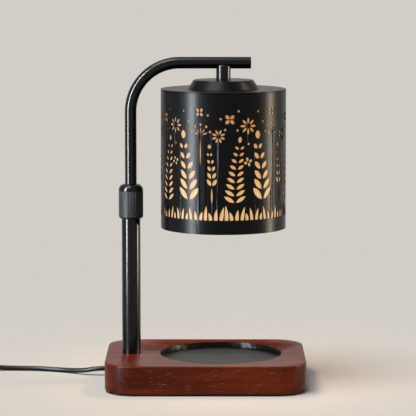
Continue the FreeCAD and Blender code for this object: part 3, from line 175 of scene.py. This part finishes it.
body_colour = add(grain, "Mix", {0: tone, 6: given["Dark"], 7: given["Light"]}, data_type="RGBA")
pore_way = add(grain, "Mapping", {"Vector": place, "Scale": (150, 1500, 1500)})
pores = add(grain, "TexNoise", {"Vector": pore_way.outputs[0], "Scale": 1, "Detail": 2, "Roughness": 0.5})
pores = ramp(grain, pores.outputs["Fac"], (0.63, grey(0)), (0.69, grey(1)))
share = add(grain, "Math", {0: pores, 1: given["Pore Share"]}, operation="MULTIPLY")
pored = add(grain, "Mix", {0: share.outputs[0], 6: body_colour.outputs[2], 7: given["Pore"]},
            data_type="RGBA")
grain.links.new(pored.outputs[2], made["Colour"])
varnish_roughness = 0.3
pore_roughness = 0.22
sheen = add(grain, "Math", {0: pores, 1: pore_roughness, 2: varnish_roughness}, operation="MULTIPLY_ADD")
grain.links.new(sheen.outputs[0], made["Roughness"])
relief = add(grain, "Math", {0: fibre.outputs["Fac"], 1: 0.25}, operation="MULTIPLY")
relief = add(grain, "Math", {0: relief.outputs[0], 1: pores}, operation="SUBTRACT")
grain.links.new(relief.outputs[0], made["Height"])

wood, tree, surface = new_material("varnished_hardwood", 0.34)
grained = add(tree, "Group", node_tree=grain)
tree.links.new(grained.outputs["Colour"], surface["Base Color"])
tree.links.new(grained.outputs["Roughness"], surface["Roughness"])
bump = add(tree, "Bump", {"Height": grained.outputs["Height"], "Strength": 0.22, "Distance": 0.00012})
tree.links.new(bump.outputs["Normal"], surface["Normal"])
surface["Specular IOR Level"].default_value = 0.08
dress("wood_base", wood, sharp=28)

# Candle dish
# A shallow spun steel pan in black powder coat, dropped into the routed recess so that it
# stands a hair below the wood.

skin, given, made = new_group(
    "made_surface",
    [("Colour", "Color", (0.5, 0.5, 0.5, 1)), ("Colour Spread", "Float", 0.1),
     ("Patch Scale", "Float", 40.0), ("Roughness", "Float", 0.4), ("Roughness Spread", "Float", 0.06),
     ("Grain Scale", "Float", 1500.0), ("Grain Height", "Float", 0.1)],
    [("Colour", "Color"), ("Roughness", "Float"), ("Normal", "Vector")])
place = add(skin, "TexCoord").outputs["Object"]
patch = add(skin, "TexNoise", {"Vector": place, "Scale": given["Patch Scale"], "Detail": 4,
                               "Roughness": 0.55})
shade = add(skin, "Math", {0: patch.outputs["Fac"], 1: 0.5}, operation="SUBTRACT")
lift = add(skin, "Math", {0: shade.outputs[0], 1: given["Colour Spread"], 2: 1.0}, operation="MULTIPLY_ADD")
toned = add(skin, "VectorMath", {0: given["Colour"], "Scale": lift.outputs[0]}, operation="SCALE")
skin.links.new(toned.outputs[0], made["Colour"])
worn = add(skin, "Math", {0: shade.outputs[0], 1: given["Roughness Spread"], 2: given["Roughness"]},
           operation="MULTIPLY_ADD")
skin.links.new(worn.outputs[0], made["Roughness"])
fine = add(skin, "TexNoise", {"Vector": place, "Scale": given["Grain Scale"], "Detail": 3,
                              "Roughness": 0.6})
pitted = add(skin, "Bump", {"Height": fine.outputs["Fac"], "Strength": given["Grain Height"],
                            "Distance": 0.0001})
skin.links.new(pitted.outputs["Normal"], made["Normal"])


def made_material(name, colour, roughness, metallic=0.0, grain_height=0.08, grain_scale=1500.0,
                  spread=0.25, rough_spread=0.12):
    """A material whose colour, roughness and normal come from the made_surface group."""
    material, tree, surface = new_material(name, roughness, metallic, colour)
    skinned = add(tree, "Group", node_tree=skin)
    skinned.inputs["Colour"].default_value = (*colour, 1)
    skinned.inputs["Colour Spread"].default_value = spread
    skinned.inputs["Roughness"].default_value = roughness
    skinned.inputs["Roughness Spread"].default_value = rough_spread
    skinned.inputs["Grain Scale"].default_value = grain_scale
    skinned.inputs["Grain Height"].default_value = grain_height
    tree.links.new(skinned.outputs["Colour"], surface["Base Color"])
    tree.links.new(skinned.outputs["Roughness"], surface["Roughness"])
    tree.links.new(skinned.outputs["Normal"], surface["Normal"])
    return material, tree, surface


satin_black, tree, surface = made_material("satin_black_coat", (0.0035, 0.0037, 0.0045), 0.3,
                                           grain_height=0.06)
surface["Specular IOR Level"].default_value = 0.1
dress("recess_dish", satin_black, edge=0.00025)

# Underside
# A zinc plated plate closes the wiring pocket, held by four screws, and four rubber feet are
# glued near the corners.

zinc, tree, surface = made_material("zinc_plate", (0.56, 0.56, 0.54), 0.33, metallic=1.0,
                                    grain_height=0.1, grain_scale=900.0, spread=0.3, rough_spread=0.2)
foot_rubber, tree, surface = made_material("foot_rubber", (0.022, 0.022, 0.022), 0.7, grain_height=0.3,
                                           grain_scale=2200.0)
dress("bottom_plate", zinc, edge=fine_edge)
dress("bottom_plate_screws", zinc, edge=fine_edge)
dress("rubber_feet", foot_rubber, edge=fine_edge)

# Lead inside the base
# The lead comes through a rubber grommet, is held by a steel strap on a nylon block, and its
# two cores are crimped to the post's leads.

jacket, tree, surface = made_material("cord_jacket", (0.008, 0.008, 0.009), 0.36, grain_height=0.06,
                                      grain_scale=2600.0)
surface["Specular IOR Level"].default_value = 0.2
nylon, tree, surface = made_material("natural_nylon", (0.72, 0.7, 0.62), 0.48, grain_height=0.08)
surface["Subsurface Weight"].default_value = 0.12
surface["Subsurface Radius"].default_value = (0.002, 0.0018, 0.0014)
sleeving, tree, surface = made_material("wire_sleeving", (0.62, 0.6, 0.54), 0.6, grain_height=0.25,
                                        grain_scale=3000.0)
dress("cord_grommet", jacket, edge=fine_edge)
dress("base_lead", jacket)
dress("cord_clamp", zinc, edge=fine_edge)
dress("cord_clamp_screws", zinc, edge=fine_edge)
dress("clamp_block", nylon, edge=soft_edge)
dress("wire_splices", nylon, edge=soft_edge)
dress("base_wires", sleeving)
dress("post_wires", sleeving)

# Post
# A gloss black steel tube stands on the wood, pulled down by a hollow nipple with a washer
# and a nut in the pocket below.

gloss_black, tree, surface = made_material("gloss_black_paint", (0.002, 0.002, 0.0023), 0.2,
                                           grain_height=0.02, grain_scale=500.0, spread=0.2,
                                           rough_spread=0.05)
surface["Specular IOR Level"].default_value = 0.25
dress("lower_tube", gloss_black, edge=fine_edge)
dress("post_nipple", zinc, edge=fine_edge)
dress("post_washer", zinc, edge=fine_edge)
dress("post_nut", zinc, sharp=25, edge=soft_edge)

# Height lock
# A split nylon collet sits on the tube's end. The lock nut squeezes it: a gloss black turned
# core with a domed top, and a matt rubber sleeve with fine flutes for the fingers.

grip_rubber, tree, surface = made_material("grip_rubber", (0.008, 0.008, 0.008), 0.42, grain_height=0.15,
                                           grain_scale=2400.0)
surface["Specular IOR Level"].default_value = 0.3
dress("collet", nylon, edge=fine_edge)
dress("guide_bush", nylon, edge=fine_edge)
dress("lock_nut", gloss_black, edge=fine_edge)
dress("lock_nut_grip", grip_rubber, sharp=25)

# Arm
# One gloss black tube, bent over the seat and closed with a flush plug. Two brass rings on
# its foot keep the guide bush, and a saddle under it carries the shade.

brass, tree, surface = made_material("plain_brass", (0.72, 0.5, 0.2), 0.3, metallic=1.0,
                                     grain_height=0.05, grain_scale=1200.0, spread=0.2,
                                     rough_spread=0.15)
dress("upper_tube", gloss_black, edge=fine_edge)
dress("stop_rings", brass, edge=fine_edge)
dress("arm_end_plug", gloss_black, edge=soft_edge)
dress("arm_stem", gloss_black, sharp=30, edge=fine_edge)
dress("stem_nipple", zinc, edge=fine_edge)
dress("arm_wires", sleeving)

# Shade
# A pierced steel drum in satin black under a flat lid and a shallow spun cap. A translucent
# cream sleeve inside shows through the openings; its glow is painted light, an emission for the bulb's
# light.

shade_centre = (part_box("shade_top")[0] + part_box("shade_top")[1]) / 2
rim_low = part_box("shade_wall")[0].z
rim_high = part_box("shade_wall")[1].z
dress("shade_cap", satin_black, sharp=30, edge=fine_edge)
dress("shade_top", satin_black, edge=0.00035)
dress("shade_wall", satin_black, sharp=30)

# The sleeve's glow is painted light: an emission brightest a fifth of the way up near the bulb, dimmer
# towards the lid, mottled by noise.
liner, tree, surface = new_material("liner_painted_glow", 0.6, colour=(0.3, 0.21, 0.12))
place = add(tree, "TexCoord").outputs["Object"]
height = add(tree, "SeparateXYZ", {0: place}).outputs["Z"]
height = add(tree, "MapRange", {"Value": height, "From Min": rim_low, "From Max": rim_high}).outputs[0]
painted_glow = ramp(tree, height, (0.0, (0.82, 0.50, 0.20)), (0.2, (0.86, 0.52, 0.20)),
            (0.5, (0.74, 0.37, 0.12)), (1.0, (0.50, 0.20, 0.05)))
cloud = add(tree, "TexNoise", {"Vector": place, "Scale": 60, "Detail": 4, "Roughness": 0.6})
mottle = ramp(tree, cloud.outputs["Fac"], (0.3, grey(0.88)), (0.7, grey(1.0)))
painted_glow = add(tree, "Mix", {0: 1.0, 6: painted_glow, 7: mottle}, data_type="RGBA", blend_type="MULTIPLY")
tree.links.new(painted_glow.outputs[2], surface["Emission Color"])
surface["Emission Strength"].default_value = 0.8
dress("shade_liner", liner)

# Lampholder
# A folded steel bracket hangs from the lid by a spring washer and a thin nut, and two screws
# fix the ceramic twist holder to it.

steatite, tree, surface = made_material("steatite", (0.78, 0.75, 0.68), 0.55, grain_height=0.15,
                                        grain_scale=1800.0)
dress("lamp_bracket", zinc, sharp=30, edge=fine_edge)
dress("spring_washer", zinc, edge=hair_edge)
dress("shade_nut", zinc, sharp=25, edge=soft_edge)
dress("lampholder", steatite, sharp=30)
dress("lampholder_screws", zinc, edge=fine_edge)
dress("lampholder_contacts", brass, edge=hair_edge)

# Bulb
# A twist-in reflector bulb: a mirrored glass cup with a ribbed lens, a halogen capsule and
# two brass pins in a ceramic base.

mirror_glass, tree, surface = made_material("mirrored_cup", (0.8, 0.76, 0.68), 0.12, metallic=1.0,
                                            grain_height=0.02, grain_scale=300.0, spread=0.1,
                                            rough_spread=0.05)
dress("bulb_reflector", mirror_glass, sharp=40)
lens_glass, tree, surface = new_material("lit_lens", 0.18, colour=(1.0, 0.95, 0.86))
place = add(tree, "TexCoord").outputs["Object"]
shifted = add(tree, "Mapping", {"Vector": place, "Location": (-shade_centre.x, 0, 0)})
rings = add(tree, "TexWave", {"Vector": shifted.outputs[0], "Scale": 90}, wave_type="RINGS",
            rings_direction="Z")
bump = add(tree, "Bump", {"Height": rings.outputs["Fac"], "Strength": 0.5, "Distance": 0.0004})
tree.links.new(bump.outputs["Normal"], surface["Normal"])
warm = ramp(tree, rings.outputs["Fac"], (0.0, (1.0, 0.68, 0.34)), (1.0, (1.0, 0.86, 0.6)))
tree.links.new(warm, surface["Emission Color"])
surface["Emission Strength"].default_value = 1.6
surface["Transmission Weight"].default_value = 0.4
dress("bulb_lens", lens_glass)
capsule_glass, tree, surface = new_material("capsule_glass", 0.05, colour=(1.0, 0.98, 0.95))
surface["Transmission Weight"].default_value = 0.9
surface["Emission Color"].default_value = (1.0, 0.8, 0.5, 1)
surface["Emission Strength"].default_value = 2.0
dress("bulb_capsule", capsule_glass)
dress("bulb_base", steatite, edge=soft_edge)
dress("bulb_pins", brass, edge=fine_edge)

# Lead
# A round two-core lead in black PVC, 4.2 mm thick. It leaves the base's left side, settles on
# the table and runs to the dimmer.

cord_wide = 0.0042


def cord_piece(name, points):
    """A round cord on one smooth spline, with those points as its control points."""
    line = bpy.data.curves.new(name, "CURVE")
    line.dimensions = "3D"
    spline = line.splines.new("NURBS")
    spline.points.add(len(points) - 1)
    for spot, point in zip(spline.points, points):
        spot.co = (*point, 1)
    spline.order_u = 3
    spline.use_endpoint_u = True
    line.resolution_u = 8
    line.bevel_depth = cord_wide / 2
    line.bevel_resolution = 5
    line.use_fill_caps = True
    line.materials.append(jacket)
    piece = bpy.data.objects.new(name, line)
    bpy.context.scene.collection.objects.link(piece)
    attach(piece, "base")
    return piece


lead_points = [
    (-0.0855, 0.026, 0.0065), (-0.095, 0.026, 0.0065), (-0.108, 0.0305, 0.0034), (-0.126, 0.041, 0.0021),
    (-0.147, 0.048, 0.0021), (-0.168, 0.0495, 0.0021), (-0.187, 0.0486, 0.0029), (-0.2, 0.048, 0.008),
    (-0.211, 0.048, 0.008)]
lead = cord_piece("lead", lead_points)
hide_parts("lead_cord")

# Dimmer
# Two moulded half shells screwed together round a small board, with a fluted knob on top and
# a tapered strain relief at each end.

moulded, tree, surface = made_material("moulded_black", (0.022, 0.022, 0.024), 0.5, grain_height=0.3,
                                       grain_scale=2600.0)
polished, tree, surface = made_material("knob_black", (0.02, 0.02, 0.021), 0.24, grain_height=0.04)
laminate, tree, surface = made_material("green_laminate", (0.02, 0.12, 0.045), 0.4, grain_height=0.1)
dimmer_pieces = [
    dress("dimmer_bottom_shell", moulded, sharp=30, edge=fine_edge),
    dress("dimmer_top_shell", moulded, sharp=30, edge=fine_edge),
    dress("dimmer_posts", moulded),
    dress("dimmer_board", laminate),
    dress("dimmer_control", polished),
    dress("dimmer_screws", zinc),
    dress("dimmer_wires", sleeving),
    dress("dimmer_reliefs", jacket, sharp=30),
    dress("dimmer_knob", polished, sharp=25),
    dress("dimmer_shaft", polished)]

# Coil
# The rest of the lead, put away: it spirals in on the table, climbs a layer in half a turn,
# spirals out again over itself and is held by a flat tie.

coil_centre = Vector((-0.294, -0.004))
coil_radius = 0.035
coil_pitch = 0.0052
coil_low = 0.0026
turns_in = 3.5
turns_up = 0.5
turns_out = 3.25
points_per_turn = 24
round_out = 1 / math.cos(math.pi / points_per_turn) ** 0.5
coil_points = []
for step in range(1, round((turns_in + turns_up + turns_out) * points_per_turn)):
    turn = step / points_per_turn
    back_out = max(turn - turns_in - turns_up, 0)
    radius = coil_radius - coil_pitch * min(turn, turns_in) + coil_pitch * back_out
    height = coil_low + coil_pitch * min(max(turn - turns_in, 0) / turns_up, 1)
    angle = math.pi + 2 * math.pi * turn
    coil_points.append((coil_centre.x + radius * round_out * math.cos(angle),
                        coil_centre.y + radius * round_out * math.sin(angle), height))
feed_points = [
    (-0.293, 0.048, 0.008), (-0.302, 0.048, 0.008), (-0.312, 0.0446, 0.0051), (-0.3204, 0.038, 0.0032),
    (-0.3262, 0.0286, 0.0026), (-0.3288, 0.0175, 0.0026), (-0.329, 0.008, 0.0026), (-0.329, 0.0002, 0.0026)]
tail_points = [
    (-0.2898, -0.0377, 0.0078), (-0.283, -0.0377, 0.0078), (-0.2755, -0.0382, 0.007),
    (-0.269, -0.0382, 0.007)]
coiled = cord_piece("coiled_lead", feed_points + coil_points + tail_points)
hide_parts("feed_cord", "cord_coil", "tail_cord")
tie = dress("coil_tie", moulded, sharp=30, edge=hair_edge)

# Plug
# A two-blade plug moulded in black PVC round its brass blades. A tapered relief joins it to
# the lead, and it lies beside the coil.

plug_pieces = [dress("plug_body", moulded, sharp=30), dress("plug_relief", jacket, sharp=30),
               dress("plug_blades", brass, sharp=30, edge=fine_edge)]

# Studio
# A very wide pale floor, a world that is seen as the floor's own tone, a soft sun, two tall
# strips that only draw highlights, the bulb's light, and the camera at the photograph's angle.

floor_half_width = 60
floor_form = bmesh.new()
bmesh.ops.create_grid(floor_form, x_segments=1, y_segments=1, size=floor_half_width)
floor_mesh = bpy.data.meshes.new("floor")
floor_form.to_mesh(floor_mesh)
floor_form.free()
floor = bpy.data.objects.new("floor", floor_mesh)
bpy.context.scene.collection.objects.link(floor)
floor_paint, tree, surface = new_material("floor_paint", 0.8, colour=(0.68, 0.66, 0.63))
surface["Specular IOR Level"].default_value = 0.0
floor_mesh.materials.append(floor_paint)

# The world lights the object softly, and the camera, gloss and glass see it as the floor's own tone.
world = bpy.data.worlds.new("studio")
bpy.context.scene.world = world
world.use_nodes = True
sky = world.node_tree
seen = add(sky, "LightPath")
through = add(sky, "Math", {0: seen.outputs["Is Glossy Ray"], 1: seen.outputs["Is Transmission Ray"]},
              operation="MAXIMUM")
as_backdrop = add(sky, "Math", {0: seen.outputs["Is Camera Ray"], 1: through.outputs[0]},
                  operation="MAXIMUM")
backdrop = add(sky, "Background", {"Color": (0.62, 0.60, 0.57, 1), "Strength": 1.0})
soft_light = add(sky, "Background", {"Color": (0.9, 0.92, 0.96, 1), "Strength": 0.2})
shown = add(sky, "MixShader", {0: as_backdrop.outputs[0], 1: soft_light.outputs[0],
                               2: backdrop.outputs[0]})
sky.links.new(shown.outputs[0], sky.nodes["World Output"].inputs["Surface"])


def aimed(lamp_data, name, place, target):
    """A lamp at a place that shines towards its target."""
    lamp = bpy.data.objects.new(name, lamp_data)
    bpy.context.scene.collection.objects.link(lamp)
    lamp.location = place
    lamp.rotation_euler = (Vector(target) - Vector(place)).to_track_quat("-Z", "Y").to_euler()
    return lamp


sun = bpy.data.lights.new("overhead", "SUN")
sun.energy = 2.6
sun.angle = math.radians(35)
sun.color = (1.0, 0.97, 0.93)
aimed(sun, "overhead", (-0.5, -0.35, 1.5), (0, 0, 0))


strip_wide = 0.07
strip_high = 0.8
strip_away = 0.6


def strip_lamp(name, way, energy, colour):
    """A tall narrow lamp that only draws an upright highlight; way is its angle from the front."""
    strip = bpy.data.lights.new(name, "AREA")
    strip.shape = "RECTANGLE"
    strip.size, strip.size_y = strip_wide, strip_high
    strip.energy = energy
    strip.color = colour
    angle = math.radians(way)
    place = (strip_away * math.sin(angle), -strip_away * math.cos(angle), strip_high / 2)
    lamp = aimed(strip, name, place, (0, 0, strip_high / 2))
    lamp.visible_camera = False
    lamp.visible_diffuse = False


strip_lamp("left_strip", -57, 20, (0.86, 0.93, 1.0))
strip_lamp("right_strip", 92, 9, (1.0, 0.84, 0.64))

bulb_light = bpy.data.lights.new("bulb_light", "POINT")
bulb_light.energy = 0.35
bulb_light.color = (1.0, 0.66, 0.34)
bulb_light.shadow_soft_size = 0.02
bulb_glow = bpy.data.objects.new("bulb_glow", bulb_light)
bpy.context.scene.collection.objects.link(bulb_glow)
below_lens = 0.006
bulb_glow.location = (shade_centre.x, 0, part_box("bulb_lens")[0].z - below_lens)
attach(bulb_glow, "arm")

# The camera stands 1.9 m in front of the lamp and looks slightly down.
frame_width_px = 416
focal_px = 2220
looking_down = 6.891
camera_data = bpy.data.cameras.new("camera")
camera_data.sensor_width = 36
camera_data.lens = camera_data.sensor_width * focal_px / frame_width_px
camera = bpy.data.objects.new("camera", camera_data)
bpy.context.scene.collection.objects.link(camera)
camera.location = (0.0021, -1.892, 0.380)
camera.rotation_euler = (math.radians(90 - looking_down), 0, 0)
bpy.context.scene.camera = camera
bpy.context.scene.view_settings.view_transform = "Standard"
